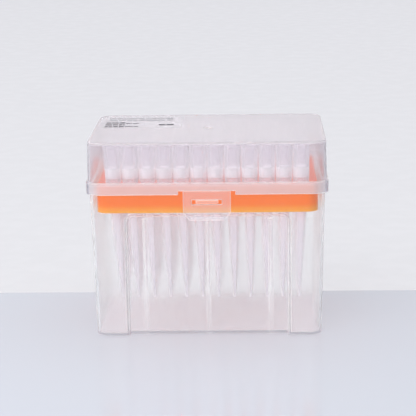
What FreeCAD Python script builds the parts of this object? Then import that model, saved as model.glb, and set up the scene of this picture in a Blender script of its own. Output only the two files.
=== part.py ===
"""Hinged rack box of ninety-six filter pipette tips, with its lid, latch flap, rack tray and label.

Frame: millimetres, +Z up, the front faces -Y. The origin is the centre of the box's underside.
Every size is a cell of the sheet "dims"; each sub-part is an object bound to those cells.
"""
import FreeCAD, Part
import math
import os

import Sketcher

V = FreeCAD.Vector
ALONG_X = V(1, 0, 0)
ALONG_Y = V(0, 1, 0)

SIZES = {
    # lid: a clear tapered cap over a flared skirt
    "skirt_width": 127.8, "skirt_depth": 85.6, "skirt_radius": 8.5, "skirt_foot": 78.2, "skirt_head": 84.4,
    "lid_foot_width": 126.0, "lid_foot_depth": 83.8, "lid_head_width": 125.2, "lid_head_depth": 83.0,
    "lid_radius": 7.6, "lid_head": 105.8, "lid_wall": 1.2, "lid_edge_round": 0.8,
    "gate_radius": 2.2, "gate_depth": 0.3, "gate_nub_radius": 0.6, "gate_nub_height": 0.25,
    "notch_width": 30.0, "notch_head": 80.2,
    # base: a tapered box whose front and back panels are set back, which leaves a ledge for the tray
    "base_head": 83.0, "base_head_width": 124.4, "base_head_depth": 82.2,
    "base_foot_width": 121.0, "base_foot_depth": 79.0, "base_radius": 7.0,
    "base_wall": 1.3, "base_floor": 1.4,
    "panel_half_width": 42.7, "panel_side_slope": 0.8, "panel_head": 66.4, "panel_depth": 3.4,
    "panel_corner_round": 3.2, "panel_edge_round": 1.0, "panel_rib_spread": 33.3, "panel_rib_radius": 1.8,
    "panel_rib_proud": 0.45, "panel_rib_foot": 0.5, "panel_rib_head": 64.2,
    "boss_width": 11.6, "boss_height": 2.0, "boss_foot": 73.4, "boss_face": 42.05, "boss_ramp": 0.55,
    # hinge: lugs and pins moulded on the base, barrels moulded on the lid
    "hinge_y": 43.2, "hinge_z": 79.0, "hinge_spread": 32.0, "barrel_radius": 1.8, "barrel_length": 10.0,
    "pin_radius": 1.0, "pin_play": 0.06, "lug_gap": 0.3, "lug_thickness": 1.6, "lug_play": 0.4,
    "lug_notch_head": 82.0,
    # latch flap on the lid's front skirt
    "latch_width": 25.0, "latch_foot": 64.5, "latch_thickness": 1.2,
    "latch_axis_y": 42.8, "latch_axis_z": 79.4,
    "latch_corner_wide": 3.5, "latch_corner_tall": 4.1, "latch_top_round": 0.55,
    "slot_width": 15.7, "slot_foot": 73.1, "slot_height": 2.5,
    "grip_foot": 65.1, "grip_height": 0.9, "grip_width": 17.0, "grip_proud": 0.5,
    # rack tray
    "tray_width": 116.8, "tray_depth": 77.2, "tray_radius": 6.0, "tray_foot": 67.8, "tray_head": 82.3,
    "tray_wall": 1.4, "tray_deck": 1.6, "tray_edge_round": 0.7, "hole_radius": 3.85,
    "deck_rib_thickness": 1.0, "deck_rib_height": 5.0,
    # tips and filters
    "pitch": 9.0, "columns": 12, "rows": 8,
    "tip_end": 19.5, "tip_knee": 38.0, "tip_mouth": 102.5,
    "tip_end_radius": 0.85, "tip_knee_radius": 1.95, "tip_body_radius": 3.75,
    "tip_collar_radius": 4.15, "tip_rib_radius": 4.32, "tip_ring_height": 1.0, "tip_ring_slope": 0.25,
    "tip_end_bore": 0.38, "tip_knee_bore": 1.42, "tip_stop_bore": 3.25, "tip_stop_height": 1.0,
    "tip_seat_bore": 3.68, "tip_mouth_bore": 3.85,
    "tip_rib_width": 0.5, "tip_rib_inset": 0.02, "tip_ribs": 12, "tip_play": 0.01,
    "lean_first": 3.0, "lean_last": -1.0,
    "filter_foot": 85.8, "filter_head": 90.6, "filter_play": 0.02,
    # label film on the lid's top
    "label_left": -60.6, "label_front": 1.2, "label_width": 46.2, "label_depth": 36.4,
    "label_thickness": 0.12, "label_round": 2.0,
    # construction: how far a cutting tool runs past a face, and how deep joined solids sink into each other
    "overshoot": 1.0, "overlap": 0.2, "panel_reach": 10.0, "panel_drop": 5.0,
}

CLOSE = 1e-6  # heights nearer than this are the same height


class Size:
    """A length that knows its value and the sheet expression that gives it."""

    def __init__(self, value, text):
        self.value = value
        self.text = text

    def _join(self, sign, other, value):
        text = other.text if isinstance(other, Size) else repr(other)
        return Size(value, f"({self.text} {sign} {text})")

    def __add__(self, other):
        return self._join("+", other, self.value + number(other))

    def __sub__(self, other):
        return self._join("-", other, self.value - number(other))

    def __mul__(self, other):
        return self._join("*", other, self.value * number(other))

    def __truediv__(self, other):
        return self._join("/", other, self.value / number(other))

    def __neg__(self):
        return Size(-self.value, f"(0 - {self.text})")


def number(size):
    """The plain value of a Size or of a number."""
    return size.value if isinstance(size, Size) else float(size)


class Dims:
    """The driving sheet: dims.name gives each cell as a Size."""

    def __init__(self, doc):
        self.sheet = doc.addObject("Spreadsheet::Sheet", "dims")
        for row, (name, value) in enumerate(SIZES.items(), start=1):
            self.sheet.set(f"A{row}", name)
            self.sheet.set(f"B{row}", str(value))
            self.sheet.setAlias(f"B{row}", name)
        doc.recompute()

    def __getattr__(self, name):
        return Size(float(self.sheet.get(name)), f"dims.{name}")

    def count(self, name):
        """A cell that holds a whole number."""
        return int(self.sheet.get(name))


def bind(item, **sizes):
    """Binds properties of an object to sheet expressions; Base_x stands for Placement.Base.x."""
    for prop, size in sizes.items():
        path = prop.replace("Base_", "Placement.Base.")
        if isinstance(size, Size):
            item.setExpression(path, size.text)
        elif prop.startswith("Base_"):
            item.setExpression(path, repr(float(size)))
        else:
            setattr(item, prop, size)
    return item


# ---------------------------------------------------------------- sketches

def rounded_rectangle(sketch, width, depth, radius):
    """A rectangle centred on the sketch's origin, with four equal corner arcs."""
    w, d, r = width.value / 2, depth.value / 2, radius.value
    corners = [(w - r, -d + r, -90), (w - r, d - r, 0), (-w + r, d - r, 90), (-w + r, -d + r, 180)]
    arcs = []
    for x, y, start in corners:
        ring = Part.Circle(V(x, y, 0), V(0, 0, 1), r)
        arcs.append(sketch.addGeometry(
            Part.ArcOfCircle(ring, math.radians(start), math.radians(start + 90)), False))
    lines = []
    for this, following in zip(arcs, arcs[1:] + arcs[:1]):
        start = sketch.Geometry[this].EndPoint
        end = sketch.Geometry[following].StartPoint
        lines.append(sketch.addGeometry(Part.LineSegment(start, end), False))
    rules = []
    for i in range(4):
        rules.append(Sketcher.Constraint("Tangent", arcs[i], 2, lines[i], 1))
        rules.append(Sketcher.Constraint("Tangent", lines[i], 2, arcs[(i + 1) % 4], 1))
        rules.append(Sketcher.Constraint("Vertical" if i % 2 == 0 else "Horizontal", lines[i]))
        if i:
            rules.append(Sketcher.Constraint("Equal", arcs[0], arcs[i]))
    rules.append(Sketcher.Constraint("Symmetric", lines[0], 1, lines[2], 1, -1, 1))
    sketch.addConstraint(rules)
    for kind, refs, size in (
            ("DistanceX", (lines[2], 1, lines[0], 1), width),
            ("DistanceY", (lines[3], 1, lines[1], 1), depth),
            ("Radius", (arcs[0],), radius)):
        index = sketch.addConstraint(Sketcher.Constraint(kind, *refs, size.value))
        sketch.setExpression(f"Constraints[{index}]", size.text)


def outline(sketch, points):
    """A closed outline of straight lines; each corner's two coordinates are bound to the sheet."""
    spots = [V(number(x), number(y), 0) for x, y in points]
    lines = [sketch.addGeometry(Part.LineSegment(a, b), False)
             for a, b in zip(spots, spots[1:] + spots[:1])]
    for line, following in zip(lines, lines[1:] + lines[:1]):
        sketch.addConstraint(Sketcher.Constraint("Coincident", line, 2, following, 1))
    for line, corner in zip(lines, points):
        for kind, size in zip(("DistanceX", "DistanceY"), corner):
            index = sketch.addConstraint(Sketcher.Constraint(kind, -1, 1, line, 1, number(size)))
            if isinstance(size, Size):
                sketch.setExpression(f"Constraints[{index}]", size.text)


def circle(sketch, x, y, radius):
    """A circle whose centre and radius are bound to the sheet."""
    ring = sketch.addGeometry(Part.Circle(V(number(x), number(y), 0), V(0, 0, 1), number(radius)), False)
    for kind, refs, size in (("DistanceX", (-1, 1, ring, 3), x), ("DistanceY", (-1, 1, ring, 3), y),
                             ("Radius", (ring,), radius)):
        index = sketch.addConstraint(Sketcher.Constraint(kind, *refs, number(size)))
        sketch.setExpression(f"Constraints[{index}]", size.text)


def body_sketch(body, name, role, offset=None):
    """A sketch on one of a body's origin planes, moved along the plane's normal by offset."""
    plane = [f for f in body.Origin.OriginFeatures if f.Role == role][0]
    sketch = body.newObject("Sketcher::SketchObject", name)
    sketch.AttachmentSupport = [(plane, "")]
    sketch.MapMode = "FlatFace"
    if offset is not None:
        sketch.setExpression("AttachmentOffset.Base.z", offset.text)
    return sketch


def level_sketch(doc, name, z, width, depth, radius):
    """A free rounded rectangle at height z."""
    sketch = doc.addObject("Sketcher::SketchObject", name)
    rounded_rectangle(sketch, width, depth, radius)
    return bind(sketch, Base_z=z)


# ---------------------------------------------------------------- solids

def tapered_block(doc, name, foot, head):
    """A solid between two level sketches."""
    loft = doc.addObject("Part::Loft", name)
    loft.Sections = [foot, head]
    loft.Solid = True
    loft.Ruled = True
    return loft


def box(doc, name, x, y, z, length, width, height):
    """A Part::Box with its low corner at x, y, z."""
    return bind(doc.addObject("Part::Box", name), Length=length, Width=width, Height=height,
                Base_x=x, Base_y=y, Base_z=z)


def cross_cylinder(doc, name, x, y, z, radius, length):
    """A cylinder along +X from x."""
    item = doc.addObject("Part::Cylinder", name)
    item.Placement = FreeCAD.Placement(V(0, 0, 0), FreeCAD.Rotation(V(0, 1, 0), 90))
    return bind(item, Radius=radius, Height=length, Base_x=x, Base_y=y, Base_z=z)


def cut(doc, name, base, tool):
    """base less tool."""
    item = doc.addObject("Part::Cut", name)
    item.Base = base
    item.Tool = tool
    return item


def fuse(doc, name, shapes):
    """All the shapes as one."""
    item = doc.addObject("Part::MultiFuse", name)
    item.Shapes = shapes
    return item


def mirrored(doc, name, source, normal):
    """The source's mirror image across the plane through the origin with this normal."""
    item = doc.addObject("Part::Mirroring", name)
    item.Source = source
    item.Normal = normal
    return item


def at_height(edge, height):
    """True if all of an edge's ends lie at this height."""
    return all(abs(v.Z - height) < CLOSE for v in edge.Vertexes)


def rounded(doc, name, source, choose):
    """Fillets the edges of source for which choose(edge) gives a radius."""
    doc.recompute()
    item = doc.addObject("Part::Fillet", name)
    item.Base = source
    edges = []
    for index, edge in enumerate(source.Shape.Edges, start=1):
        radius = choose(edge)
        if radius:
            edges.append((index, radius, radius))
    item.Edges = edges
    return item


# ---------------------------------------------------------------- base

def draft_turn(d):
    """The tilt of the front wall, as a turn about X."""
    lean = math.atan2((d.base_head_depth - d.base_foot_depth).value / 2, d.base_head.value)
    return FreeCAD.Placement(V(0, 0, 0), FreeCAD.Rotation(V(1, 0, 0), math.degrees(lean)))


def panel_tool(doc, d, name, grow):
    """The block that sets a front panel back, grown all round by grow.

    It widens towards the outside, leans with the front wall's draft and has rounded top corners.
    """
    reach = d.base_head_depth / 2 + d.panel_reach
    face = d.base_foot_depth / 2 - d.panel_depth - grow
    half = d.panel_half_width + grow
    tool = doc.addObject("Part::Wedge", name)
    slope = d.panel_side_slope / d.panel_depth
    spread = slope * (reach - face)
    bind(tool, Xmin=-(half - d.panel_side_slope + spread), Xmax=half - d.panel_side_slope + spread,
         X2min=-(half - d.panel_side_slope), X2max=half - d.panel_side_slope,
         Ymin=-(reach - face), Ymax=0.0, Zmin=-d.panel_drop, Zmax=d.panel_head + grow,
         Z2min=-d.panel_drop, Z2max=d.panel_head + grow)
    tool.Placement = draft_turn(d)
    bind(tool, Base_y=-face)
    doc.recompute()
    corner = d.panel_corner_round.value + number(grow)
    edge_round = d.panel_edge_round.value

    def choose(edge):
        """Large rounds on the two edges that run out of the wall at the top, small ones up the sides."""
        start, end = [tool.Placement.inverse().multVec(v.Point) for v in edge.Vertexes]
        runs_out = abs(start.y - end.y) > CLOSE
        runs_up = abs(start.z - end.z) > CLOSE
        if runs_out and not runs_up and start.z > 0:
            return corner
        if runs_up and not runs_out and abs(start.y) < CLOSE:
            return edge_round
        return 0

    return rounded(doc, name + "_rounded", tool, choose)


def hinge_lugs(doc, d):
    """Two lugs and the pin between them, at +X; the other pair is its mirror image."""
    inner = d.barrel_length / 2 + d.lug_gap
    wall = d.base_head_depth / 2 - d.base_wall / 2
    parts = []
    for side in (-1, 1):
        tag = "low" if side < 0 else "high"
        x = d.hinge_spread + inner if side > 0 else d.hinge_spread - inner - d.lug_thickness
        parts.append(cross_cylinder(doc, f"lug_eye_{tag}", x, d.hinge_y, d.hinge_z,
                                    d.barrel_radius, d.lug_thickness))
        parts.append(box(doc, f"lug_arm_{tag}", x, wall, d.hinge_z - d.barrel_radius,
                         d.lug_thickness, d.hinge_y - wall, d.barrel_radius * 2))
    parts.append(cross_cylinder(doc, "hinge_pin", d.hinge_spread - inner - d.lug_thickness / 2, d.hinge_y,
                                d.hinge_z, d.pin_radius, (inner + d.lug_thickness / 2) * 2))
    return fuse(doc, "lugs_right", parts)


def panel_ribs(doc, d):
    """Three low rounded upright ribs on the front panel, which run into the wall behind them."""
    sunk = d.base_foot_depth / 2 - d.panel_depth - d.panel_rib_radius + d.panel_rib_proud
    ribs = []
    for place in (-1, 0, 1):
        rib = doc.addObject("Part::Cylinder", f"panel_rib_{place + 2}")
        rib.Placement = draft_turn(d)
        bind(rib, Radius=d.panel_rib_radius, Height=d.panel_rib_head - d.panel_rib_foot,
             Base_x=d.panel_rib_spread * place, Base_y=-sunk, Base_z=d.panel_rib_foot)
        ribs.append(rib)
    return fuse(doc, "front_ribs", ribs)


def make_base(doc, d):
    """The bottom box: one moulding with set-back panels, a catch boss and hinge lugs with pins."""
    outer = tapered_block(
        doc, "base_outer",
        level_sketch(doc, "base_foot_edge", 0.0, d.base_foot_width, d.base_foot_depth, d.base_radius),
        level_sketch(doc, "base_head_edge", d.base_head, d.base_head_width, d.base_head_depth,
                     d.base_radius))
    thin = d.base_wall * 2
    cavity = tapered_block(
        doc, "base_cavity",
        level_sketch(doc, "cavity_foot_edge", d.base_floor, d.base_foot_width - thin,
                     d.base_foot_depth - thin, d.base_radius - d.base_wall),
        level_sketch(doc, "cavity_head_edge", d.base_head + d.overshoot, d.base_head_width - thin,
                     d.base_head_depth - thin, d.base_radius - d.base_wall))
    front_tool = panel_tool(doc, d, "panel_tool", 0.0)
    front_wall = panel_tool(doc, d, "panel_wall_tool", d.base_wall)
    panels = fuse(doc, "panel_tools", [front_tool, mirrored(doc, "panel_tool_back", front_tool, ALONG_Y)])
    walls = fuse(doc, "panel_walls", [front_wall, mirrored(doc, "panel_wall_back", front_wall, ALONG_Y)])
    ribs = panel_ribs(doc, d)
    block = fuse(doc, "base_block", [cut(doc, "base_body", outer, panels), ribs,
                                     mirrored(doc, "back_ribs", ribs, ALONG_Y)])
    shell = cut(doc, "base_shell", block, cut(doc, "base_room", cavity, walls))

    boss_root = d.base_head_depth / 2 - d.base_wall
    boss = doc.addObject("Part::Wedge", "catch_boss")
    bind(boss, Xmin=-(d.boss_width / 2), Xmax=d.boss_width / 2, X2min=-(d.boss_width / 2),
         X2max=d.boss_width / 2, Ymin=-d.boss_face, Ymax=-boss_root, Zmin=d.boss_foot,
         Zmax=d.boss_foot + d.boss_height - d.boss_ramp, Z2min=d.boss_foot,
         Z2max=d.boss_foot + d.boss_height)

    lugs = hinge_lugs(doc, d)
    base = fuse(doc, "base", [shell, boss, lugs, mirrored(doc, "lugs_left", lugs, ALONG_X)])
    return [base]


# ---------------------------------------------------------------- lid

def hinge_barrels(doc, d):
    """The lid's two hinge barrels."""
    right = cross_cylinder(doc, "barrel_right", d.hinge_spread - d.barrel_length / 2, d.hinge_y, d.hinge_z,
                           d.barrel_radius, d.barrel_length)
    return [right, mirrored(doc, "barrel_left", right, ALONG_X)]


def hinge_clearances(doc, d):
    """The bores of the barrels and the openings in the skirt that the base's lugs pass through."""
    tools = [cross_cylinder(doc, "barrel_bore", d.hinge_spread - d.barrel_length, d.hinge_y, d.hinge_z,
                            d.pin_radius + d.pin_play, d.barrel_length * 2)]
    wide = d.lug_gap + d.lug_thickness + d.lug_play
    foot = d.hinge_z - d.barrel_radius - d.overshoot
    for side in (-1, 1):
        start = d.hinge_spread + d.barrel_length / 2
        if side < 0:
            start = d.hinge_spread - d.barrel_length / 2 - wide
        tools.append(box(doc, "lug_notch_low" if side < 0 else "lug_notch_high", start,
                         d.skirt_depth / 2 - d.lid_wall * 2, foot, wide, d.lid_wall * 4,
                         d.lug_notch_head - foot))
    right = fuse(doc, "hinge_room_right", tools)
    return [right, mirrored(doc, "hinge_room_left", right, ALONG_X)]


def make_lid(doc, d):
    """The lid: a clear cap and skirt with hinge barrels, a latch notch and a moulding gate mark."""
    thin = d.lid_wall * 2
    step = d.skirt_head - d.lid_wall
    cap = tapered_block(
        doc, "cap_outer",
        level_sketch(doc, "cap_foot_edge", step, d.lid_foot_width, d.lid_foot_depth, d.lid_radius),
        level_sketch(doc, "cap_head_edge", d.lid_head, d.lid_head_width, d.lid_head_depth, d.lid_radius))
    top = d.lid_head.value
    edge_round = d.lid_edge_round.value
    soft_cap = rounded(doc, "cap_rounded", cap, lambda edge: edge_round if at_height(edge, top) else 0)
    skirt = tapered_block(
        doc, "skirt_outer",
        level_sketch(doc, "skirt_foot_edge", d.skirt_foot, d.skirt_width, d.skirt_depth, d.skirt_radius),
        level_sketch(doc, "skirt_head_edge", d.skirt_head, d.skirt_width, d.skirt_depth, d.skirt_radius))
    cap_room = tapered_block(
        doc, "cap_room",
        level_sketch(doc, "cap_room_foot", step - d.overshoot, d.lid_foot_width - thin,
                     d.lid_foot_depth - thin, d.lid_radius - d.lid_wall),
        level_sketch(doc, "cap_room_head", d.lid_head - d.lid_wall, d.lid_head_width - thin,
                     d.lid_head_depth - thin, d.lid_radius - d.lid_wall))
    skirt_room = tapered_block(
        doc, "skirt_room",
        level_sketch(doc, "skirt_room_foot", d.skirt_foot - d.overshoot, d.skirt_width - thin,
                     d.skirt_depth - thin, d.skirt_radius - d.lid_wall),
        level_sketch(doc, "skirt_room_head", step, d.skirt_width - thin, d.skirt_depth - thin,
                     d.skirt_radius - d.lid_wall))
    shell = cut(doc, "lid_shell", fuse(doc, "lid_outer", [soft_cap, skirt]),
                fuse(doc, "lid_room", [cap_room, skirt_room]))

    notch = box(doc, "latch_notch", -(d.notch_width / 2), -(d.skirt_depth / 2 + d.overshoot),
                d.skirt_foot - d.overshoot, d.notch_width, d.lid_wall + d.overshoot * 2,
                d.notch_head - d.skirt_foot + d.overshoot)
    gate = bind(doc.addObject("Part::Cylinder", "gate_dish"), Radius=d.gate_radius,
                Height=d.gate_depth + d.overshoot, Base_z=d.lid_head - d.gate_depth)
    nub = bind(doc.addObject("Part::Cylinder", "gate_nub"), Radius=d.gate_nub_radius,
               Height=d.gate_nub_height + d.overlap, Base_z=d.lid_head - d.gate_depth - d.overlap)
    tools = fuse(doc, "lid_tools", [notch, gate] + hinge_clearances(doc, d))
    body = cut(doc, "lid_body", fuse(doc, "lid_with_barrels", [shell] + hinge_barrels(doc, d)), tools)
    lid = fuse(doc, "lid", [body, nub])
    return [lid]


def make_latch(doc, d):
    """The latch flap: a slotted tab with a full-round top, cut corners and a grip ridge."""
    body = doc.addObject("PartDesign::Body", "latch")
    half = d.latch_width / 2
    face = body_sketch(body, "latch_face", "XZ_Plane", d.latch_axis_y)
    narrow = half - d.latch_corner_wide
    shoulder = d.latch_foot + d.latch_corner_tall
    head = d.latch_axis_z + d.latch_thickness / 2
    outline(face, [(-narrow, d.latch_foot), (narrow, d.latch_foot), (half, shoulder),
                   (half, head), (-half, head), (-half, shoulder)])
    plate = body.newObject("PartDesign::Pad", "latch_plate")
    plate.Profile = face
    plate.SideType = "Symmetric"
    bind(plate, Length=d.latch_thickness)

    slot_face = body_sketch(body, "slot_face", "XZ_Plane", d.latch_axis_y)
    slot_half = d.slot_width / 2
    outline(slot_face, [(-slot_half, d.slot_foot), (slot_half, d.slot_foot),
                        (slot_half, d.slot_foot + d.slot_height), (-slot_half, d.slot_foot + d.slot_height)])
    slot = body.newObject("PartDesign::Pocket", "catch_slot")
    slot.Profile = slot_face
    slot.SideType = "Symmetric"
    bind(slot, Length=d.latch_thickness * 2)

    grip_face = body_sketch(body, "grip_face", "XZ_Plane", d.latch_axis_y + d.latch_thickness / 2)
    grip_half = d.grip_width / 2
    outline(grip_face, [(-grip_half, d.grip_foot), (grip_half, d.grip_foot),
                        (grip_half, d.grip_foot + d.grip_height), (-grip_half, d.grip_foot + d.grip_height)])
    grip = body.newObject("PartDesign::Pad", "grip_ridge")
    grip.Profile = grip_face
    bind(grip, Length=d.grip_proud)
    doc.recompute()

    names = [f"Edge{i}" for i, edge in enumerate(grip.Shape.Edges, start=1)
             if at_height(edge, head.value) and edge.BoundBox.XLength > CLOSE]
    soft = body.newObject("PartDesign::Fillet", "latch_top_round")
    soft.Base = (grip, names)
    bind(soft, Radius=d.latch_top_round)
    body.Tip = soft
    return [body]


# ---------------------------------------------------------------- tray

def make_tray(doc, d):
    """The rack tray: a deck with a grid of tip holes, a deep skirt and three ribs under the deck."""
    body = doc.addObject("PartDesign::Body", "tray")
    outer = body_sketch(body, "tray_edge", "XY_Plane", d.tray_foot)
    rounded_rectangle(outer, d.tray_width, d.tray_depth, d.tray_radius)
    block = body.newObject("PartDesign::Pad", "tray_block")
    block.Profile = outer
    bind(block, Length=d.tray_head - d.tray_foot)
    doc.recompute()

    top = d.tray_head.value
    names = [f"Edge{i}" for i, edge in enumerate(block.Shape.Edges, start=1) if at_height(edge, top)]
    soft = body.newObject("PartDesign::Fillet", "tray_top_round")
    soft.Base = (block, names)
    bind(soft, Radius=d.tray_edge_round)

    inner = body_sketch(body, "tray_room_edge", "XY_Plane", d.tray_foot)
    rounded_rectangle(inner, d.tray_width - d.tray_wall * 2, d.tray_depth - d.tray_wall * 2,
                      d.tray_radius - d.tray_wall)
    room = body.newObject("PartDesign::Pocket", "tray_room")
    room.Profile = inner
    room.Reversed = True
    bind(room, Length=d.tray_head - d.tray_foot - d.tray_deck)

    rib_foot = d.tray_head - d.tray_deck - d.deck_rib_height
    reach = d.tray_width / 2 - d.tray_wall / 2
    ribs = room
    for index, place in enumerate((-2, 0, 2), start=1):
        middle = d.pitch * place
        strip = body_sketch(body, f"rib_edge_{index}", "XY_Plane", rib_foot)
        low, high = middle - d.deck_rib_thickness / 2, middle + d.deck_rib_thickness / 2
        outline(strip, [(-reach, low), (reach, low), (reach, high), (-reach, high)])
        ribs = body.newObject("PartDesign::Pad", f"deck_rib_{index}")
        ribs.Profile = strip
        bind(ribs, Length=d.deck_rib_height + d.tray_deck / 2)

    first = body_sketch(body, "first_hole_edge", "XY_Plane", d.tray_head)
    circle(first, -(d.pitch * (d.columns - 1) / 2), -(d.pitch * (d.rows - 1) / 2), d.hole_radius)
    hole = body.newObject("PartDesign::Pocket", "first_hole")
    hole.Profile = first
    bind(hole, Length=d.tray_deck + d.overlap)
    doc.recompute()

    grid = body.newObject("PartDesign::MultiTransform", "hole_grid")
    grid.Originals = [hole]
    steps = []
    for name, axis, count in (("along", "H_Axis", "columns"), ("across", "V_Axis", "rows")):
        step = body.newObject("PartDesign::LinearPattern", f"holes_{name}")
        step.Direction = (first, [axis])
        bind(step, Length=d.pitch * (getattr(d, count) - 1))
        step.setExpression("Occurrences", f"dims.{count}")
        steps.append(step)
    grid.Transformations = steps
    body.Tip = grid
    return [body]


# ---------------------------------------------------------------- tips and filters

def make_tip_pattern(doc, d):
    """One tip on the Z axis: a hollow cone with a ribbed collar that stands on the deck.

    The cone is steeper below the knee, and the bore has a stop on which the filter sits.
    """
    body = doc.addObject("PartDesign::Body", "tip_pattern")
    side = body_sketch(body, "tip_section", "XZ_Plane")
    ring_top = d.tray_head + d.tip_ring_height
    lip_foot = d.tip_mouth - d.tip_ring_height
    outline(side, [
        (d.tip_end_bore, d.tip_end), (d.tip_end_radius, d.tip_end), (d.tip_knee_radius, d.tip_knee),
        (d.tip_body_radius, d.tray_head),
        (d.tip_rib_radius, d.tray_head), (d.tip_rib_radius, ring_top),
        (d.tip_collar_radius, ring_top + d.tip_ring_slope),
        (d.tip_collar_radius, lip_foot - d.tip_ring_slope),
        (d.tip_rib_radius, lip_foot), (d.tip_rib_radius, d.tip_mouth), (d.tip_mouth_bore, d.tip_mouth),
        (d.tip_seat_bore, d.filter_foot), (d.tip_stop_bore, d.filter_foot - d.tip_stop_height),
        (d.tip_knee_bore, d.tip_knee)])
    turned = body.newObject("PartDesign::Revolution", "tip_tube")
    turned.Profile = side
    turned.ReferenceAxis = (side, ["V_Axis"])
    turned.Angle = 360

    rib_edge = body_sketch(body, "collar_rib_edge", "XY_Plane", d.tray_head + d.tip_ring_height / 2)
    half = d.tip_rib_width / 2
    low = d.tip_collar_radius - d.overlap
    high = d.tip_rib_radius - d.tip_rib_inset
    outline(rib_edge, [(low, -half), (high, -half), (high, half), (low, half)])
    rib = body.newObject("PartDesign::Pad", "collar_rib")
    rib.Profile = rib_edge
    bind(rib, Length=d.tip_mouth - d.tray_head - d.tip_ring_height)
    doc.recompute()

    ribs = body.newObject("PartDesign::PolarPattern", "collar_ribs")
    ribs.Originals = [rib]
    ribs.Axis = (rib_edge, ["N_Axis"])
    ribs.Angle = 360
    ribs.setExpression("Occurrences", "dims.tip_ribs")
    body.Tip = ribs
    return body


def make_filter_pattern(doc, d):
    """One filter plug on the Z axis, tapered to the tip's bore."""
    slope = (d.tip_mouth_bore - d.tip_seat_bore) / (d.tip_mouth - d.filter_foot)
    plug = doc.addObject("Part::Cone", "filter_pattern")
    return bind(plug, Height=d.filter_head - d.filter_foot, Base_z=d.filter_foot,
                Radius1=d.tip_seat_bore - d.filter_play,
                Radius2=d.tip_seat_bore + slope * (d.filter_head - d.filter_foot) - d.filter_play)


def column_places(d, column):
    """The placements of one column's tips, which lean a little in their holes, front row first."""
    columns, rows, pitch = d.count("columns"), d.count("rows"), d.pitch.value
    share = column / (columns - 1)
    lean = d.lean_first.value + (d.lean_last.value - d.lean_first.value) * share
    turn = FreeCAD.Rotation(V(0, 1, 0), -lean)
    seat = V(0, 0, d.tray_head.value)
    lift = d.tip_rib_radius.value * math.sin(math.radians(abs(lean))) + d.tip_play.value
    places = []
    for row in range(rows):
        spot = V((column - (columns - 1) / 2) * pitch, (row - (rows - 1) / 2) * pitch, lift)
        places.append(FreeCAD.Placement(spot + seat - turn.multVec(seat), turn))
    return places


def make_column(doc, name, pattern, places):
    """Copies of a pattern's solid at the given placements, as one group of separate solids."""
    solids = []
    for place in places:
        solid = pattern.Shape.copy()
        solid.Placement = place.multiply(solid.Placement)
        solids.append(solid)
    item = doc.addObject("Part::Feature", name)
    item.Shape = Part.makeCompound(solids)
    item.Placement = FreeCAD.Placement()
    return item


def make_columns(doc, d):
    """Twelve columns of eight tips, and the filters inside them."""
    tip = make_tip_pattern(doc, d)
    plug = make_filter_pattern(doc, d)
    doc.recompute()
    parts = []
    for column in range(d.count("columns")):
        places = column_places(d, column)
        parts.append(make_column(doc, f"tips_column_{column + 1}", tip, places))
        parts.append(make_column(doc, f"filters_column_{column + 1}", plug, places))
    return parts


# ---------------------------------------------------------------- label

def make_label(doc, d):
    """The label film stuck on the lid's top, with rounded corners."""
    sheet = box(doc, "label_sheet", d.label_left, d.label_front, d.lid_head, d.label_width, d.label_depth,
                d.label_thickness)
    corner = d.label_round.value
    label = rounded(doc, "label", sheet, lambda edge: corner if edge.BoundBox.XLength < CLOSE
                    and edge.BoundBox.YLength < CLOSE else 0)
    return [label]


# ---------------------------------------------------------------- document

def check(doc, parts):
    """Stops if an object failed to compute or a sub-part has no valid solid."""
    for item in doc.Objects:
        if {"Invalid", "Error"} & set(item.State):
            raise RuntimeError(f"{item.Name} did not compute: {item.State}")
    for part in parts:
        shape = part.Shape
        if shape.isNull() or not shape.isValid() or not shape.Solids:
            raise RuntimeError(f"{part.Label} has no valid solid")
        print(f"{part.Label:20s} solids {len(shape.Solids):3d}  faces {len(shape.Faces):5d}  "
              f"volume {shape.Volume:10.1f}")


def main():
    """Builds the document and writes one STEP file for each sub-part."""
    doc = FreeCAD.newDocument("tip_box")
    d = Dims(doc)
    parts = make_base(doc, d) + make_tray(doc, d) + make_lid(doc, d) + make_latch(doc, d)
    parts += make_label(doc, d) + make_columns(doc, d)
    doc.recompute()
    check(doc, parts)
    os.makedirs("parts", exist_ok=True)
    for part in parts:
        part.Shape.exportStep(f"parts/{part.Label}.step")


main()
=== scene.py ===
"""Studio scene of a hinged box of filter pipette tips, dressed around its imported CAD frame.

The frame gives every moulding at its real size and place: the base, the lid, the latch flap, the
rack tray, the label, and the columns of tips and filters. This script gives each of them its
plastic, adds the print on the label, and sets the table, the backdrop, the lights and the camera.
All lengths are in metres.
"""

import logging
import math
from dataclasses import dataclass
from enum import Enum

import bmesh
import bpy
from mathutils import Matrix, Vector

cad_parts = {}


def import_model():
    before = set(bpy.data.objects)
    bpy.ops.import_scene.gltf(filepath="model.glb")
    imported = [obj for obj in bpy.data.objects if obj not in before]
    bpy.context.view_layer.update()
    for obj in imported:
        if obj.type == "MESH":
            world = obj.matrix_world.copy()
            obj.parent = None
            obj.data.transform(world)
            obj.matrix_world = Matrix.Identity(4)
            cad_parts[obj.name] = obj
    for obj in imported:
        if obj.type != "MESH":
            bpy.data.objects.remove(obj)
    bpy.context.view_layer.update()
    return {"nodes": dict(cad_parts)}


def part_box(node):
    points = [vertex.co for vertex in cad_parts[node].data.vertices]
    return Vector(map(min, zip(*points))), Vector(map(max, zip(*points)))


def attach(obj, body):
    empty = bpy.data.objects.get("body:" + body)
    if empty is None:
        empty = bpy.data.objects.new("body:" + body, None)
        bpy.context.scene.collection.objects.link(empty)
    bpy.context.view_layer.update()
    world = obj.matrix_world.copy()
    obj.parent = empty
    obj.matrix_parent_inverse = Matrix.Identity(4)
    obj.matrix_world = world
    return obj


LOG = logging.getLogger("tip_box")
MM = 0.001
PLAIN_SPECULAR = 0.5

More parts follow.
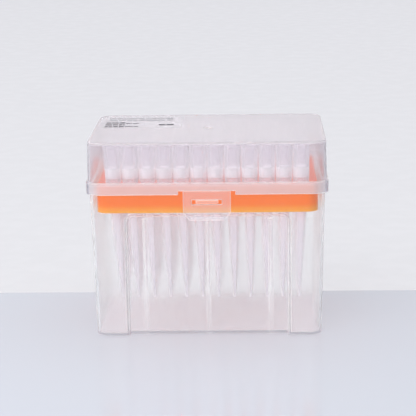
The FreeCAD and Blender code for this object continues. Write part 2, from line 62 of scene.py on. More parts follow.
Colour = tuple[float, float, float]
Point = tuple[float, float, float]
Value = float | Colour | bpy.types.NodeSocket
Nodes = dict[str, bpy.types.Object]


# ---------------------------------------------------------------- node trees


class Graph:
    """A small builder for one node tree."""

    def __init__(self, tree: bpy.types.NodeTree) -> None:
        """Keeps the tree that new nodes go into."""
        self.tree = tree

    def put(self, socket: bpy.types.NodeSocket, value: Value) -> None:
        """Links a socket into an input, or sets the input's own value.

        Args:
            socket: The input to fill.
            value: An output socket, a number or a colour.
        """
        if isinstance(value, bpy.types.NodeSocket):
            self.tree.links.new(value, socket)
        elif isinstance(value, tuple) and socket.type == "RGBA":
            socket.default_value = (*value, 1.0)
        else:
            socket.default_value = value

    def node(self, kind: str, **inputs: Value) -> bpy.types.Node:
        """Adds a node and fills its inputs.

        Args:
            kind: The node's type, such as "ShaderNodeBump".
            **inputs: Values or sockets by input name, with spaces as underscores.

        Returns:
            The new node.
        """
        made = self.tree.nodes.new(kind)
        for name, value in inputs.items():
            self.put(made.inputs[name.replace("_", " ")], value)
        return made

    def math(self, operation: str, *values: Value) -> bpy.types.NodeSocket:
        """Adds a Math node.

        Args:
            operation: The operation's name, such as "MULTIPLY".
            *values: One to three numbers or sockets.

        Returns:
            The node's output socket.
        """
        made = self.tree.nodes.new("ShaderNodeMath")
        made.operation = operation
        for socket, value in zip(made.inputs, values):
            self.put(socket, value)
        return made.outputs["Value"]

    def ramp(self, value: Value, start: Value, end: Value, low: Value = 0.0,
             high: Value = 1.0) -> bpy.types.NodeSocket:
        """Maps a value smoothly from one span to another.

        Args:
            value: What to map.
            start: The value that gives low.
            end: The value that gives high.
            low: The result at start.
            high: The result at end.

        Returns:
            The result's socket.
        """
        made = self.node("ShaderNodeMapRange", Value=value, From_Min=start, From_Max=end,
                         To_Min=low, To_Max=high)
        made.interpolation_type = "SMOOTHSTEP"
        return made.outputs["Result"]

    def blend(self, share: Value, low: Value, high: Value) -> bpy.types.NodeSocket:
        """Mixes two colours.

        Args:
            share: How much of high there is, from 0 to 1.
            low: The colour at 0.
            high: The colour at 1.

        Returns:
            The mixed colour's socket.
        """
        made = self.tree.nodes.new("ShaderNodeMix")
        made.data_type = "RGBA"
        inputs = {socket.identifier: socket for socket in made.inputs}
        self.put(inputs["Factor_Float"], share)
        self.put(inputs["A_Color"], low)
        self.put(inputs["B_Color"], high)
        return next(socket for socket in made.outputs if socket.identifier == "Result_Color")

    def place(self) -> bpy.types.NodeSocket:
        """The point's place in its own object, for a CAD node its place in the part's frame."""
        return self.tree.nodes.new("ShaderNodeTexCoord").outputs["Object"]


class Effect(Enum):
    """The shader node groups that several finishes share."""

    MOULDED_SURFACE = "moulded_surface"
    DIRECTED_FADE = "directed_fade"
    NEAR_EDGES = "near_edges"
    LOWER_PANELS = "lower_panels"
    LEVEL_BAND = "level_band"
    CORNERS = "corners"

    def tree(self) -> bpy.types.NodeTree:
        """The group, built the first time it is asked for.

        Returns:
            The group's tree.
        """
        known = bpy.data.node_groups.get(self.value)
        makers = {Effect.MOULDED_SURFACE: self._moulded_surface,
                  Effect.DIRECTED_FADE: self._directed_fade,
                  Effect.NEAR_EDGES: self._near_edges,
                  Effect.LOWER_PANELS: self._lower_panels,
                  Effect.LEVEL_BAND: self._level_band,
                  Effect.CORNERS: self._corners}
        return known or makers[self]()

    def _start(self, inputs: dict[str, float], outputs: list[str]) -> tuple[Graph, dict, dict]:
        """Makes an empty group with number sockets.

        Args:
            inputs: Each input's default value, by name.
            outputs: The outputs' names.

        Returns:
            The group's graph, and its input and output sockets by name.
        """
        tree = bpy.data.node_groups.new(self.value, "ShaderNodeTree")
        for name, value in inputs.items():
            socket = tree.interface.new_socket(name, in_out="INPUT", socket_type="NodeSocketFloat")
            socket.default_value = value
        for name in outputs:
            tree.interface.new_socket(name, in_out="OUTPUT", socket_type="NodeSocketFloat")
        start = tree.nodes.new("NodeGroupInput")
        end = tree.nodes.new("NodeGroupOutput")
        return Graph(tree), {s.name: s for s in start.outputs}, {s.name: s for s in end.inputs}

    def _moulded_surface(self) -> bpy.types.NodeTree:
        """A moulding's fine grain and its walls' slow waviness, as a height and as a mottle.

        Returns:
            The group's tree.
        """
        graph, into, out = self._start(
            {"Grain Scale": 3000.0, "Wave Scale": 60.0, "Wave Share": 0.8}, ["Height", "Mottle"])
        place = graph.place()
        grain = graph.node("ShaderNodeTexNoise", Vector=place, Scale=into["Grain Scale"],
                           Detail=2.0)
        wave = graph.node("ShaderNodeTexNoise", Vector=place, Scale=into["Wave Scale"],
                          Detail=1.0)
        waves = graph.math("MULTIPLY", wave.outputs["Fac"], into["Wave Share"])
        rest = graph.math("SUBTRACT", 1.0, into["Wave Share"])
        graph.put(out["Height"], graph.math("MULTIPLY_ADD", grain.outputs["Fac"], rest, waves))
        graph.put(out["Mottle"], wave.outputs["Fac"])
        return graph.tree

    def _directed_fade(self) -> bpy.types.NodeTree:
        """A mask that goes from 0 at Start to 1 at End, measured along the way X, Y, Z.

        Returns:
            The group's tree.
        """
        graph, into, out = self._start(
            {"X": 0.0, "Y": 0.0, "Z": 1.0, "Start": 0.0, "End": 1.0}, ["Mask"])
        way = graph.node("ShaderNodeCombineXYZ", X=into["X"], Y=into["Y"], Z=into["Z"])
        along = graph.tree.nodes.new("ShaderNodeVectorMath")
        along.operation = "DOT_PRODUCT"
        graph.put(along.inputs[0], graph.place())
        graph.put(along.inputs[1], way.outputs["Vector"])
        graph.put(out["Mask"], graph.ramp(along.outputs["Value"], into["Start"], into["End"]))
        return graph.tree

    def _near_edges(self) -> bpy.types.NodeTree:
        """A mask that is 1 on a moulding's edges and 0 further from them than Reach.

        The rounded normal and the true one agree on a face and part near its edge.

        Returns:
            The group's tree.
        """
        alike_on_face, alike_on_edge = 0.99, 0.80
        graph, into, out = self._start({"Reach": 0.8 * MM}, ["Mask"])
        rounded = graph.node("ShaderNodeBevel", Radius=into["Reach"])
        rounded.samples = 4
        plain = graph.tree.nodes.new("ShaderNodeNewGeometry")
        alike = graph.tree.nodes.new("ShaderNodeVectorMath")
        alike.operation = "DOT_PRODUCT"
        graph.put(alike.inputs[0], rounded.outputs["Normal"])
        graph.put(alike.inputs[1], plain.outputs["Normal"])
        graph.put(out["Mask"], graph.ramp(alike.outputs["Value"], alike_on_face, alike_on_edge))
        return graph.tree

    def _lower_panels(self) -> bpy.types.NodeTree:
        """The painted sheen below Head: All everywhere, and Ribs on top of it as painted highlights
        on the upright ribs.

        One rib is in the middle and one is Spread to each side of it. They count only beyond
        Depth, on the front and on the back.

        Returns:
            The group's tree.
        """
        soft = 2.0 * MM
        graph, into, out = self._start(
            {"Head": 66.0 * MM, "All": 0.0, "Ribs": 0.0, "Spread": 33.3 * MM,
             "Half Width": 1.8 * MM, "Depth": 35.0 * MM}, ["Bloom"])
        split = graph.node("ShaderNodeSeparateXYZ", Vector=graph.place())
        half = graph.math("MULTIPLY", into["Spread"], 0.5)
        sideways = graph.math("ABSOLUTE", split.outputs["X"])
        folded = graph.math("ABSOLUTE", graph.math("SUBTRACT", sideways, half))
        gap = graph.math("ABSOLUTE", graph.math("SUBTRACT", folded, half))
        inner = graph.math("MULTIPLY", into["Half Width"], 0.5)
        across = graph.ramp(gap, into["Half Width"], inner)
        inwards = graph.math("ABSOLUTE", split.outputs["Y"])
        outside = graph.math("GREATER_THAN", inwards, into["Depth"])
        ribs = graph.math("MULTIPLY", graph.math("MULTIPLY", across, outside), into["Ribs"])
        foot = graph.math("SUBTRACT", into["Head"], soft)
        below = graph.ramp(split.outputs["Z"], into["Head"], foot)
        graph.put(out["Bloom"], graph.math("MULTIPLY", graph.math("ADD", ribs, into["All"]), below))
        return graph.tree

    def _level_band(self) -> bpy.types.NodeTree:
        """A mask that is 1 from Foot to Head and fades out over Soft above and below them.

        Returns:
            The group's tree.
        """
        graph, into, out = self._start({"Foot": 0.0, "Head": 1.0 * MM, "Soft": 0.5 * MM}, ["Mask"])
        height = graph.node("ShaderNodeSeparateXYZ", Vector=graph.place()).outputs["Z"]
        rise = graph.ramp(height, graph.math("SUBTRACT", into["Foot"], into["Soft"]), into["Foot"])
        fall = graph.ramp(height, graph.math("ADD", into["Head"], into["Soft"]), into["Head"])
        graph.put(out["Mask"], graph.math("MULTIPLY", rise, fall))
        return graph.tree

    def _corners(self) -> bpy.types.NodeTree:
        """A mask of the four upright corners, outwards from Along X and Along Y, where painted
        shade goes.

        Returns:
            The group's tree.
        """
        graph, into, out = self._start(
            {"Along X": 60.0 * MM, "Along Y": 35.0 * MM, "Soft": 1.0 * MM}, ["Mask"])
        split = graph.node("ShaderNodeSeparateXYZ", Vector=graph.place())
        parts = []
        for axis in ("X", "Y"):
            start = into[f"Along {axis}"]
            end = graph.math("ADD", start, into["Soft"])
            parts.append(graph.ramp(graph.math("ABSOLUTE", split.outputs[axis]), start, end))
        graph.put(out["Mask"], graph.math("MULTIPLY", *parts))
        return graph.tree


# ---------------------------------------------------------------- finishes


@dataclass(frozen=True)
class Finish:
    """What every finish shares.

    Attributes:
        name: The material's name.
        tint: The plastic's own colour.
        roughness: The gloss of the surface, before its mottle.
        bump: Strength of the moulded surface's bump.
        wave: Depth of the bump.
        mottle: How far the roughness goes up and down, as a share of it.
        shine: How much of the usual reflection there is, from 0 to 1.
        shade: How much of a lamp's light one surface stops.
        passes: True if scattered light passes through it like a lamp's light.
    """

    name: str
    tint: Colour
    roughness: float = 0.3
    bump: float = 0.1
    wave: float = 0.2 * MM
    mottle: float = 0.15
    shine: float = 1.0
    shade: float = 1.0
    passes: bool = False

    def material(self) -> bpy.types.Material:
        """Builds the node material: a Principled shader over the moulded surface.

        Returns:
            The new material.
        """
        made = bpy.data.materials.new(self.name)
        made.use_nodes = True
        made.node_tree.nodes.clear()
        graph = Graph(made.node_tree)
        surface = self.effect(graph, Effect.MOULDED_SURFACE)
        calm, wavy = 0.3, 0.7
        roughness = graph.ramp(surface.outputs["Mottle"], calm, wavy,
                               self.roughness * (1.0 - self.mottle),
                               self.roughness * (1.0 + self.mottle))
        bump = graph.node("ShaderNodeBump", Strength=self.bump, Distance=self.wave,
                          Height=surface.outputs["Height"])
        opening = self._opening(graph) if self.shade < 1.0 else 1.0
        shader = graph.node("ShaderNodeBsdfPrincipled", Base_Color=self.tint, Roughness=roughness,
                            Alpha=opening, Normal=bump.outputs["Normal"],
                            Specular_IOR_Level=PLAIN_SPECULAR * self.shine)
        graph.node("ShaderNodeOutputMaterial", Surface=self.detail(graph, shader, opening))
        return made

    def detail(self, graph: Graph, shader: bpy.types.Node,
               opening: Value) -> bpy.types.NodeSocket:
        """Adds what is special to this finish; a plain one adds nothing.

        Args:
            graph: The material's graph.
            shader: The Principled shader.
            opening: The alpha of every shader of the finish.

        Returns:
            The socket that goes to the material's output.
        """
        return shader.outputs["BSDF"]

    def _opening(self, graph: Graph) -> bpy.types.NodeSocket:
        """An alpha that opens for light that only passes, so that what stands behind is lit.

        Args:
            graph: The material's graph.

        Returns:
            The alpha's socket.
        """
        path = graph.node("ShaderNodeLightPath")
        passing = path.outputs["Is Shadow Ray"]
        if self.passes:
            passing = graph.math("MAXIMUM", passing, path.outputs["Is Diffuse Ray"])
        return graph.math("MULTIPLY_ADD", passing, self.shade - 1.0, 1.0)

    @staticmethod
    def effect(graph: Graph, effect: Effect, **values: float) -> bpy.types.Node:
        """Places a shared group in a material.

        Args:
            graph: The material's graph.
            effect: Which group.
            **values: The group's own input values, by name.

        Returns:
            The group's node.
        """
        made = graph.tree.nodes.new("ShaderNodeGroup")
        made.node_tree = effect.tree()
        for name, value in values.items():
            graph.put(made.inputs[name.replace("_", " ")], value)
        return made


@dataclass(frozen=True)
class ClearWall(Finish):
    """Clear polypropylene that bends light and scatters a little of it, more along the wall, under
    painted sheen, highlights and shade.

    Attributes:
        haze: How much of the light a surface scatters when looked at squarely.
        edge_haze: How much it scatters when looked at along the surface.
        edge_power: How late the haze rises towards the edge.
        painted_sheen: A painted whitish sheen on the surface beyond the fade, from 0 to 1.
        rim_painted_highlight: The same sheen near the wall's edges, painted highlights on the edge
            lines.
        rim_roughness: How matt a full rim highlight makes the edges.
        painted_sheen_ior: How strong a full painted sheen is, as the index of a matt coat.
        painted_sheen_roughness: How matt that coat is.
        fade: The way the fade is measured, and where it starts and ends, or nothing.
        panel_painted_sheen: The same painted sheen on the base's lower part.
        rib_painted_highlight: The painted highlight its ribs have on top of that.
        band: The foot and the head of a level band, or nothing.
        band_painted_light_tint: The milky part's colour on the band, painted light.
        band_painted_glow: A painted whitish glow on the band, as a matt coat.
        corners: Where the painted shade of the corners starts along X and along Y, or nothing.
        corner_shade_tint: The milky part's colour there, a dark blue-grey painted shade.
        milk_roughness: How matt the milky part is.
        ior: The plastic's refractive index.
    """

    roughness: float = 0.05
    bump: float = 0.004
    shade: float = 0.03
    passes: bool = True
    haze: float = 0.1
    edge_haze: float = 0.6
    edge_power: float = 2.0
    painted_sheen: float = 0.0
    rim_painted_highlight: float = 0.0
    rim_roughness: float = 0.7
    painted_sheen_ior: float = 4.0
    painted_sheen_roughness: float = 0.8
    fade: tuple[Point, float, float] | None = None
    panel_painted_sheen: float = 0.0
    rib_painted_highlight: float = 0.0
    band: tuple[float, float] | None = None
    band_painted_light_tint: Colour = (1.0, 1.0, 1.0)
    band_painted_glow: float = 0.0
    corners: tuple[float, float] | None = None
    corner_shade_tint: Colour = (0.22, 0.24, 0.36)
    milk_roughness: float = 0.5
    ior: float = 1.49

    def detail(self, graph: Graph, shader: bpy.types.Node,
               opening: Value) -> bpy.types.NodeSocket:
        """Makes the shader clear and mixes it with a milky one.

        Args:
            graph: The material's graph.
            shader: The Principled shader.
            opening: The alpha of both shaders.

        Returns:
            The mixed shader's socket.
        """
        graph.put(shader.inputs["Transmission Weight"], 1.0)
        graph.put(shader.inputs["IOR"], self.ior)
        self._add_painted_sheen(graph, shader)
        milk = graph.node("ShaderNodeBsdfPrincipled", Base_Color=self._milk_tint(graph),
                          Roughness=self.milk_roughness, Alpha=opening)
        facing = graph.node("ShaderNodeLayerWeight", Blend=0.5).outputs["Facing"]
        edge = graph.math("POWER", facing, self.edge_power)
        haze = graph.math("MULTIPLY_ADD", edge, self.edge_haze - self.haze, self.haze)
        mix = graph.tree.nodes.new("ShaderNodeMixShader")
        graph.put(mix.inputs[0], haze)
        graph.put(mix.inputs[1], shader.outputs["BSDF"])
        graph.put(mix.inputs[2], milk.outputs["BSDF"])
        return mix.outputs["Shader"]

    def _band_mask(self, graph: Graph) -> bpy.types.NodeSocket:
        """The mask of the level band."""
        foot, head = self.band
        return self.effect(graph, Effect.LEVEL_BAND, Foot=foot, Head=head).outputs["Mask"]

    def _corner_shade_mask(self, graph: Graph) -> bpy.types.NodeSocket:
        """The mask of the painted shade on the four upright corners."""
        x, y = self.corners
        return self.effect(graph, Effect.CORNERS, Along_X=x, Along_Y=y).outputs["Mask"]

    def _milk_tint(self, graph: Graph) -> Value:
        """The milk's colour, with the painted light of its band and the painted shade of its
        corners.

        Args:
            graph: The material's graph.

        Returns:
            The colour, or the socket that gives it.
        """
        tint: Value = self.tint
        # Painted light on the band: on the base, the floor's pink bounce from the tray; on the
        # tips, a white glow along the filters.
        if self.band:
            tint = graph.blend(self._band_mask(graph), tint, self.band_painted_light_tint)
        # Painted shade: the milk turns dark blue-grey on the corners.
        if self.corners:
            tint = graph.blend(self._corner_shade_mask(graph), tint, self.corner_shade_tint)
        return tint

    def _add_painted_sheen(self, graph: Graph, shader: bpy.types.Node) -> None:
        """Adds the painted sheen as a matt white coat, with painted highlights on the edges and
        ribs, and turns the edges matt.

        Args:
            graph: The material's graph.
            shader: The Principled shader.
        """
        # Painted sheen and painted highlights, laid on as a matt white coat.
        painted_sheen: Value = 0.0
        if self.fade:
            (x, y, z), start, end = self.fade
            fade = self.effect(graph, Effect.DIRECTED_FADE, X=x, Y=y, Z=z, Start=start, End=end)
            painted_sheen = graph.math("MULTIPLY", fade.outputs["Mask"], self.painted_sheen)
        if self.rim_painted_highlight:
            rim = self.effect(graph, Effect.NEAR_EDGES)
            painted_sheen = graph.math("MULTIPLY_ADD", rim.outputs["Mask"], self.rim_painted_highlight, painted_sheen)
            matt = graph.math("MULTIPLY", rim.outputs["Mask"], self.rim_roughness * self.rim_painted_highlight)
            gloss = shader.inputs["Roughness"].links[0].from_socket
            graph.put(shader.inputs["Roughness"], graph.math("MAXIMUM", gloss, matt))
        if self.panel_painted_sheen:
            panels = self.effect(graph, Effect.LOWER_PANELS, All=self.panel_painted_sheen,
                                 Ribs=self.rib_painted_highlight)
            painted_sheen = graph.math("ADD", panels.outputs["Bloom"], painted_sheen)
        # Painted glow on the band.
        if self.band and self.band_painted_glow:
            painted_sheen = graph.math("MULTIPLY_ADD", self._band_mask(graph), self.band_painted_glow, painted_sheen)
        # The corners with painted shade get no painted sheen.
        if self.corners:
            between = graph.math("SUBTRACT", 1.0, self._corner_shade_mask(graph))
            painted_sheen = graph.math("MULTIPLY", between, painted_sheen)
        graph.put(shader.inputs["Coat Weight"], painted_sheen)
        graph.put(shader.inputs["Coat Roughness"], self.painted_sheen_roughness)
        graph.put(shader.inputs["Coat IOR"], self.painted_sheen_ior)


@dataclass(frozen=True)
class TrayPlastic(Finish):
    """Orange polypropylene, with a painted glow along its lower edge and painted shade on its deck.

    Attributes:
        low_edge_glow_tint: The painted glow at the lower edge, a paler colour for light shining
            through the thin edge.
        low_foot: Height of the lower edge.
        low_head: Height where the painted glow ends.
        deck_shade_tint: The deck's colour darkened by painted shade, for the shade of the tips.
        deck_foot: Height below which the deck's painted shade is not seen.
        deck_head: Height above which all has the deck's painted shade.
    """

    low_edge_glow_tint: Colour = (0.95, 0.36, 0.03)
    low_foot: float = 67.8 * MM
    low_head: float = 73.0 * MM
    deck_shade_tint: Colour = (0.85, 0.12, 0.005)
    deck_foot: float = 81.7 * MM
    deck_head: float = 82.2 * MM

    def detail(self, graph: Graph, shader: bpy.types.Node,
               opening: Value) -> bpy.types.NodeSocket:
        """Adds the painted glow on the lower edge and the painted shade on the deck.

        Args:
            graph: The material's graph.
            shader: The Principled shader.
            opening: The shader's alpha, which stays as it is.

        Returns:
            The shader's socket.
        """
        # Painted glow: a paler colour up the lower edge, for light shining through the thin
        # plastic.
        fade = self.effect(graph, Effect.DIRECTED_FADE, Start=self.low_foot, End=self.low_head)
        sides = graph.blend(fade.outputs["Mask"], self.low_edge_glow_tint, self.tint)
        # Painted shade: the deck's top is darkened as if in the shade of the tips.
        top = self.effect(graph, Effect.DIRECTED_FADE, Start=self.deck_foot, End=self.deck_head)
        tint = graph.blend(top.outputs["Mask"], sides, self.deck_shade_tint)
        graph.put(shader.inputs["Base Color"], tint)
        return shader.outputs["BSDF"]


@dataclass(frozen=True)
class LitPaper(Finish):
    """Backdrop paper, evenly lit by lamps of its own.

    Attributes:
        light: The light that those lamps add.
    """

    light: Colour = (0.6, 0.6, 0.6)

    def detail(self, graph: Graph, shader: bpy.types.Node,
               opening: Value) -> bpy.types.NodeSocket:
        """Adds the paper's own light.

        Args:
            graph: The material's graph.
            shader: The Principled shader.
            opening: The shader's alpha, which stays as it is.

        Returns:
            The shader's socket.
        """
        graph.put(shader.inputs["Emission Color"], self.light)
        graph.put(shader.inputs["Emission Strength"], 1.0)
        return shader.outputs["BSDF"]


@dataclass(frozen=True)
class Film(Finish):
    """The label's thin film, seen through by alpha and a little more closed along its surface.

    Attributes:
        face: How closed it is, looked at squarely.
        edge: How closed it is, looked at along it.
    """

    face: float = 0.03
    edge: float = 0.08

    def detail(self, graph: Graph, shader: bpy.types.Node,
               opening: Value) -> bpy.types.NodeSocket:
        """Makes the film see-through.

        Args:
            graph: The material's graph.
            shader: The Principled shader.
            opening: The shader's alpha, which the film's own takes the place of.

        Returns:
            The shader's socket.
        """
        facing = graph.node("ShaderNodeLayerWeight", Blend=0.5).outputs["Facing"]
        graph.put(shader.inputs["Alpha"], graph.ramp(facing, 0.0, 1.0, self.face, self.edge))
        return shader.outputs["BSDF"]


# ---------------------------------------------------------------- the object


def dress(node: bpy.types.Object, material: bpy.types.Material) -> None:
    """Gives a CAD node its material.

    Args:
        node: The CAD node's object.
        material: Its material.
    """
    for place in node.material_slots:
        place.material = material
    LOG.info("%s dressed", node.name)


@dataclass
class BaseBox:
    """The base moulding and the rack tray that stands in it.

    Attributes:
        wall: The base's clear plastic.
        tray: The tray's orange plastic.
    """

    # The base: painted sheen on the corner columns' front faces and the lower panels, painted
    # highlights on the edges and ribs.
    wall: ClearWall = ClearWall(
        "base_clear_plastic", (0.985, 0.985, 0.985), roughness=0.2,
        haze=0.01, edge_haze=0.4, edge_power=1.6,
        painted_sheen=1.0, rim_painted_highlight=1.0, fade=((0.0, -1.0, 0.0), 41.2 * MM, 41.5 * MM),
        panel_painted_sheen=0.16, rib_painted_highlight=0.5,
        # Painted orange bounce light from the tray, pink on the floor band.
        band=(-1.0 * MM, 2.0 * MM), band_painted_light_tint=(1.0, 0.84, 0.89))
    tray: TrayPlastic = TrayPlastic(
        "tray_orange_plastic", (1.0, 0.175, 0.001), roughness=0.55, shine=0.05, shade=0.1)

    def build(self, nodes: Nodes) -> None:
        """Dresses the base and the tray.

        Args:
            nodes: The CAD nodes by name.
        """
        dress(nodes["base"], self.wall.material())
        dress(nodes["tray"], self.tray.material())


@dataclass
class TipSet:
    """The columns of tips and the filters inside them.

    Attributes:
        columns: How many columns there are.
        tip: The tips' natural plastic, with a painted white glow along the filters.
        filter: The filters' porous plastic.
    """

    columns: int = 12
    # Painted glow: the tips turn whiter on the band along the filters.
    tip: ClearWall = ClearWall(
        "tip_natural_plastic", (0.92, 0.88, 0.91), roughness=0.15, shade=0.006,
        haze=0.22, edge_haze=0.75, edge_power=1.5,
        band=(85.8 * MM, 90.6 * MM), band_painted_glow=1.0)
    filter: Finish = Finish(
        "filter_porous_plastic", (0.99, 0.97, 0.98), roughness=0.9, bump=0.4, shade=0.1)

    def build(self, nodes: Nodes) -> None:
        """Dresses every column.

        Args:
            nodes: The CAD nodes by name.
        """
        tip = self.tip.material()
        plug = self.filter.material()
        for column in range(1, self.columns + 1):
            dress(nodes[f"tips_column_{column}"], tip)
            dress(nodes[f"filters_column_{column}"], plug)


@dataclass(frozen=True)
class PrintBlock:
    """A block of printed lines on the label, in its own plane.

    Attributes:
        left: Where its lines start, along X.
        back: Its first line's middle, along Y.
        width: Length of a line.
        lines: How many lines.
        pitch: From one line to the next, towards the front.
        weight: A line's own width.
        dash: Mean length of a printed dash.
    """

    left: float
    back: float
    width: float
    lines: int
    pitch: float
    weight: float
    dash: float


@dataclass
class Cover:
    """The lid, its latch flap, and the label with its print.

    Attributes:
        wall: The lid's clear plastic.
        flap: The latch flap's clear plastic.
        film: The label's film.
        ink: The darker print's ink.
        pale_ink: The paler print's ink.
        ink_depth: How far below the film's top the print's top is.
        ink_height: Thickness of the print.
        dash_swing: How far a dash's length goes up and down, as a share of it.
        dash_gap: The gap between dashes, as a share of the mean dash.
        dark_blocks: What is printed in the darker ink.
        pale_blocks: What is printed in the paler ink.
    """

    # The lid: painted sheen on its skirt, painted highlights on its edges, painted shade on its
    # four corners.
    wall: ClearWall = ClearWall(
        "lid_clear_plastic", (0.81, 0.77, 0.80), roughness=0.12, haze=0.16, edge_haze=0.3,
        painted_sheen=0.6, rim_painted_highlight=0.9, fade=((0.0, 0.0, -1.0), -84.6 * MM, -84.4 * MM),
        corners=(61.4 * MM, 35.0 * MM))
    # Painted highlights on the latch flap's edges.
    flap: ClearWall = ClearWall(
        "latch_clear_plastic", (0.95, 0.93, 0.96), haze=0.1, rim_painted_highlight=1.0)
    film: Film = Film("label_film", (0.86, 0.86, 0.90), roughness=0.45, shine=0.2)
    ink: Finish = Finish("label_grey_ink", (0.08, 0.08, 0.09), roughness=0.8, shine=0.1)
    pale_ink: Finish = Finish("label_pale_ink", (0.36, 0.36, 0.38), roughness=0.8, shine=0.1)
    ink_depth: float = 0.02 * MM
    ink_height: float = 0.02 * MM
    dash_swing: float = 0.4
    dash_gap: float = 0.25
    dark_blocks: tuple[PrintBlock, ...] = (
        PrintBlock(left=-57.2 * MM, back=17.0 * MM, width=10.5 * MM, lines=3,
                   pitch=5.6 * MM, weight=2.6 * MM, dash=2.6 * MM),
        PrintBlock(left=-46.0 * MM, back=15.0 * MM, width=7.0 * MM, lines=2,
                   pitch=9.0 * MM, weight=1.6 * MM, dash=3.0 * MM),
        PrintBlock(left=-27.6 * MM, back=10.6 * MM, width=8.2 * MM, lines=1,
                   pitch=1.0 * MM, weight=3.0 * MM, dash=3.4 * MM),
    )
    pale_blocks: tuple[PrintBlock, ...] = (
        PrintBlock(left=-56.4 * MM, back=30.0 * MM, width=36.0 * MM, lines=2,
                   pitch=5.4 * MM, weight=2.2 * MM, dash=3.6 * MM),
    )

    def build(self, nodes: Nodes) -> None:
        """Dresses the cover's nodes and adds the print.

        Args:
            nodes: The CAD nodes by name.
        """
        dress(nodes["lid"], self.wall.material())
        dress(nodes["latch"], self.flap.material())
        dress(nodes["label"], self.film.material())
        self._print("label_print_dark", self.dark_blocks, self.ink.material())
        self._print("label_print_pale", self.pale_blocks, self.pale_ink.material())

    def _print(self, name: str, blocks: tuple[PrintBlock, ...],
               material: bpy.types.Material) -> None:
        """Builds blocks of short dashes just under the film's top.

        Args:
            name: The new object's name.
            blocks: The blocks to print.
            material: The ink.
        """
        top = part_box("label")[1].z - self.ink_depth
        work = bmesh.new()
        for block in blocks:
            for line in range(block.lines):
                self._line(work, block, line, top)
        mesh = bpy.data.meshes.new(name)
        work.to_mesh(mesh)
        work.free()
        mesh.materials.append(material)
        made = bpy.data.objects.new(name, mesh)
        bpy.context.scene.collection.objects.link(made)
        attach(made, "cover")
        LOG.info("%s added", name)

    def _line(self, work: bmesh.types.BMesh, block: PrintBlock, line: int,
              top: float) -> None:
        """Adds one line of dashes, each a flat block.

        Args:
            work: The mesh under construction.
            block: The block the line belongs to.
            line: The line's number, from the back.
            top: Height of the print.
        """
        step_turn, line_turn = 7.3, 2.1
        middle_y = block.back - line * block.pitch
        start = block.left
        end = block.left + block.width
        step = 0
        while start < end:
            swing = math.sin(step_turn * step + line_turn * line)
            length = min(block.dash * (1.0 + self.dash_swing * swing), end - start)
            centre = Vector((start + length / 2, middle_y, top - self.ink_height / 2))
            size = Matrix.Diagonal((length, block.weight, self.ink_height, 1.0))
            bmesh.ops.create_cube(work, size=1.0, matrix=Matrix.Translation(centre) @ size)
            start += length + block.dash * self.dash_gap
            step += 1


# ---------------------------------------------------------------- the studio


@dataclass(frozen=True)
class Softbox:
    """A square lamp that looks at the box.

    Attributes:
        name: The lamp's name.
        place: Where its middle is.
        size: Its side.
        power: Its power in watts.
    """

    name: str
    place: Point
    size: float
    power: float


@dataclass(frozen=True)
class View:
    """Where the camera stands and what it frames.

    Attributes:
        aim: The point in the middle of the frame.
        distance: From that point to the camera.
        bearing: How far round the box it stands, in degrees.
        tilt: How far it looks down, in degrees.
        roll: How far it is rolled, in degrees.
        lens: Its focal length, in millimetres.
        sensor: Width of its sensor, in millimetres.
        near: The nearest distance it sees.
        far: The furthest distance it sees.
    """

    aim: Point = (-0.82 * MM, 0.0, 60.78 * MM)
    distance: float = 831.99 * MM
    bearing: float = -1.891
    tilt: float = 13.616
    roll: float = -0.924
    lens: float = 130.33
    sensor: float = 36.0
    near: float = 50.0 * MM
    far: float = 20.0


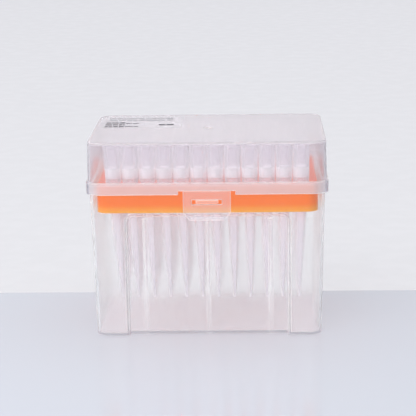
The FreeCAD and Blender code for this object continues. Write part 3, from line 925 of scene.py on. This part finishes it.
@dataclass
class Studio:
    """The glossy table, the backdrop behind it, the lamps, the room's light and the camera.

    Attributes:
        table_back: Where the table ends behind the box, along Y.
        table_reach: How far the table goes to the front, and all sheets to each side.
        backdrop_start: Where the backdrop starts to bend upwards, along Y.
        backdrop_bend: Radius of the bend.
        backdrop_steps: How many faces the bend has.
        backdrop_top: Height of the backdrop.
        table: The table's surface.
        paper: The backdrop's surface.
        softboxes: The lamps.
        lamp_aim: The point that the lamps are aimed at.
        room: Colour of the room's light.
        room_overhead: Strength of the room's light from above.
        room_level: Its strength from the front and the back.
        room_sides: Its strength from the left and the right.
        side_span: Where, sideways, the light from the sides starts and is full.
        rise_span: Where, upwards, the light from above starts and is full.
        view: The camera's place.
        clear_bounces: How many clear surfaces light may pass.
    """

    table_back: float = 42.0 * MM
    table_reach: float = 2.5
    backdrop_start: float = 1.6
    backdrop_bend: float = 0.5
    backdrop_steps: int = 12
    backdrop_top: float = 2.6
    table: Finish = Finish("table_gloss", (0.565, 0.59, 0.652), roughness=0.08, bump=0.0)
    paper: Finish = LitPaper(
        "backdrop_paper", (0.2, 0.2, 0.2), roughness=0.9, bump=0.0, light=(0.545, 0.545, 0.58))
    softboxes: tuple[Softbox, ...] = (
        Softbox("key_softbox", place=(-0.7, -0.9, 1.2), size=1.0, power=15.0),)
    lamp_aim: Point = (0.0, 0.0, 50.0 * MM)
    room: Colour = (0.97, 0.98, 1.0)
    room_overhead: float = 1.00
    room_level: float = 1.00
    room_sides: float = 0.10
    side_span: tuple[float, float] = (0.35, 0.65)
    rise_span: tuple[float, float] = (0.0, 0.6)
    view: View = View()
    clear_bounces: int = 48

    def build(self) -> None:
        """Builds the whole set."""
        self._sheet("table", [(-self.table_reach, 0.0), (self.table_back, 0.0)], self.table)
        self._sheet("backdrop", self._backdrop_profile(), self.paper)
        self._lamps()
        self._room()
        self._camera()
        self._render_settings()
        LOG.info("studio set")

    def _backdrop_profile(self) -> list[tuple[float, float]]:
        """The backdrop's line in the YZ plane: level behind the table, then bent upwards.

        Returns:
            Its points, from the table's back edge to the top.
        """
        profile = [(self.table_back, 0.0), (self.backdrop_start, 0.0)]
        for step in range(1, self.backdrop_steps + 1):
            turn = math.radians(90.0) * step / self.backdrop_steps
            profile.append((self.backdrop_start + self.backdrop_bend * math.sin(turn),
                            self.backdrop_bend * (1.0 - math.cos(turn))))
        profile.append((self.backdrop_start + self.backdrop_bend, self.backdrop_top))
        return profile

    def _sheet(self, name: str, profile: list[tuple[float, float]], finish: Finish) -> None:
        """Draws a profile along X into one smooth sheet.

        Args:
            name: The sheet's name.
            profile: Its points in the YZ plane.
            finish: Its surface.
        """
        mesh = bpy.data.meshes.new(name)
        work = bmesh.new()
        rows = [[work.verts.new((side * self.table_reach, y, z)) for side in (-1, 1)]
                for y, z in profile]
        for low, high in zip(rows, rows[1:]):
            work.faces.new((low[0], low[1], high[1], high[0])).smooth = True
        work.to_mesh(mesh)
        work.free()
        mesh.materials.append(finish.material())
        made = bpy.data.objects.new(name, mesh)
        bpy.context.scene.collection.objects.link(made)
        LOG.info("%s laid", name)

    def _lamps(self) -> None:
        """Sets up the softboxes, each aimed at the box's middle."""
        aim = Vector(self.lamp_aim)
        for softbox in self.softboxes:
            lamp = bpy.data.lights.new(softbox.name, "AREA")
            lamp.shape = "SQUARE"
            lamp.size = softbox.size
            lamp.energy = softbox.power
            made = bpy.data.objects.new(softbox.name, lamp)
            made.location = softbox.place
            made.rotation_euler = (aim - made.location).to_track_quat("-Z", "Y").to_euler()
            bpy.context.scene.collection.objects.link(made)

    def _room(self) -> None:
        """Lights the room: bright overhead, in front and behind, dimmer at the sides."""
        world = bpy.data.worlds.new("white_room")
        world.use_nodes = True
        world.node_tree.nodes.clear()
        graph = Graph(world.node_tree)
        way = graph.node("ShaderNodeTexCoord").outputs["Generated"]
        split = graph.node("ShaderNodeSeparateXYZ", Vector=way)
        sideways = graph.math("ABSOLUTE", split.outputs["X"])
        around = graph.ramp(sideways, *self.side_span, self.room_level, self.room_sides)
        strength = graph.ramp(split.outputs["Z"], *self.rise_span, around, self.room_overhead)
        sky = graph.node("ShaderNodeBackground", Color=self.room, Strength=strength)
        graph.node("ShaderNodeOutputWorld", Surface=sky.outputs["Background"])
        bpy.context.scene.world = world

    def _camera(self) -> None:
        """Places the camera round the box by bearing, height angle, roll and distance."""
        view = self.view
        bearing, tilt, roll = (math.radians(turn) for turn in (view.bearing, view.tilt, view.roll))
        forward = Vector((math.sin(bearing) * math.cos(tilt), math.cos(bearing) * math.cos(tilt),
                          -math.sin(tilt)))
        level = Vector((math.cos(bearing), -math.sin(bearing), 0.0))
        upright = level.cross(forward)
        right = level * math.cos(roll) + upright * math.sin(roll)
        up = upright * math.cos(roll) - level * math.sin(roll)
        turn = Matrix((right, up, -forward)).transposed().to_4x4()
        data = bpy.data.cameras.new("camera")
        data.sensor_width = view.sensor
        data.lens = view.lens
        data.clip_start = view.near
        data.clip_end = view.far
        made = bpy.data.objects.new("camera", data)
        made.matrix_world = Matrix.Translation(Vector(view.aim) - forward * view.distance) @ turn
        bpy.context.scene.collection.objects.link(made)
        bpy.context.scene.camera = made

    def _render_settings(self) -> None:
        """Lets light reach through all the clear walls, and shows plain colours."""
        scene = bpy.context.scene
        scene.view_settings.view_transform = "Standard"
        scene.cycles.use_denoising = True
        scene.cycles.max_bounces = self.clear_bounces
        scene.cycles.transmission_bounces = self.clear_bounces
        scene.cycles.glossy_bounces = 16
        scene.cycles.transparent_max_bounces = 128
        scene.cycles.diffuse_bounces = 4
        scene.cycles.caustics_refractive = False
        scene.cycles.caustics_reflective = False


def main() -> None:
    """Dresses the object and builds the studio."""
    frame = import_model()
    nodes = frame["nodes"]
    BaseBox().build(nodes)
    TipSet().build(nodes)
    Cover().build(nodes)
    Studio().build()
    LOG.info("size written")


if __name__ == "__main__":
    logging.basicConfig(level=logging.INFO, format="%(message)s")
    main()
